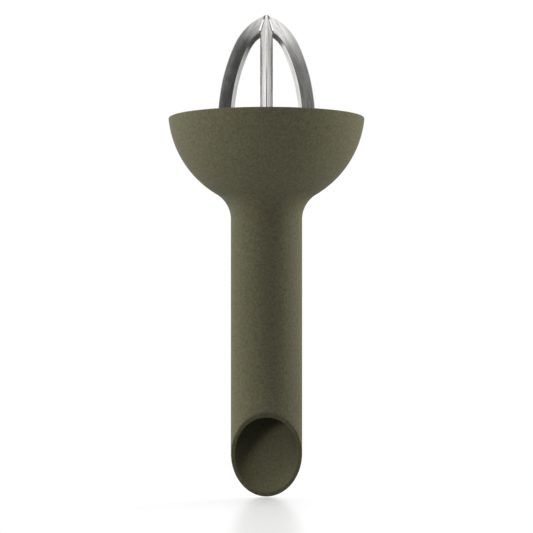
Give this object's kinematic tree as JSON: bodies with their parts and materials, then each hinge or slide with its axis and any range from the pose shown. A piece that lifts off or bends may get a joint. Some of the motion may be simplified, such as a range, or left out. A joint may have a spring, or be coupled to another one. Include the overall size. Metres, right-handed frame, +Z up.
{
  "type": "hand-held citrus juicer",
  "caption": "Hand-held citrus juicer: a ribbed steel reamer over a slotted strainer plate in a plastic bowl, whose hollow handle carries the juice down to a slanted spout.",
  "frame": {"origin": "on the axis of the handle, at the height of the tip of the spout", "axes": "+Z up along the handle to the point of the reamer, -Y the way the slanted spout faces, +X to the right seen from there"},
  "size_m": [0.0898, 0.0898, 0.2248],
  "materials": {
    "olive_plastic": "matte moulded plastic, dark olive green, finely mottled and slightly grained",
    "brushed_steel": "stainless steel, brushed along the ribs, bright along the crowns and edges",
    "plate_steel": "stainless steel sheet with a fine satin brushing",
    "ring_silicone": "matte dark grey-green silicone rubber"
  },
  "bodies": {
    "handle_body": {"body": "olive_plastic"},
    "reamer_insert": {"reamer": "brushed_steel", "strainer_plate": "plate_steel", "seal_ring": "ring_silicone"}
  },
  "joints": [
    {"name": "insert_lift", "type": "slide", "parent": "handle_body", "child": "reamer_insert", "axis": [0, 0, 1], "range_m": [0, 0.04]}
  ]
}
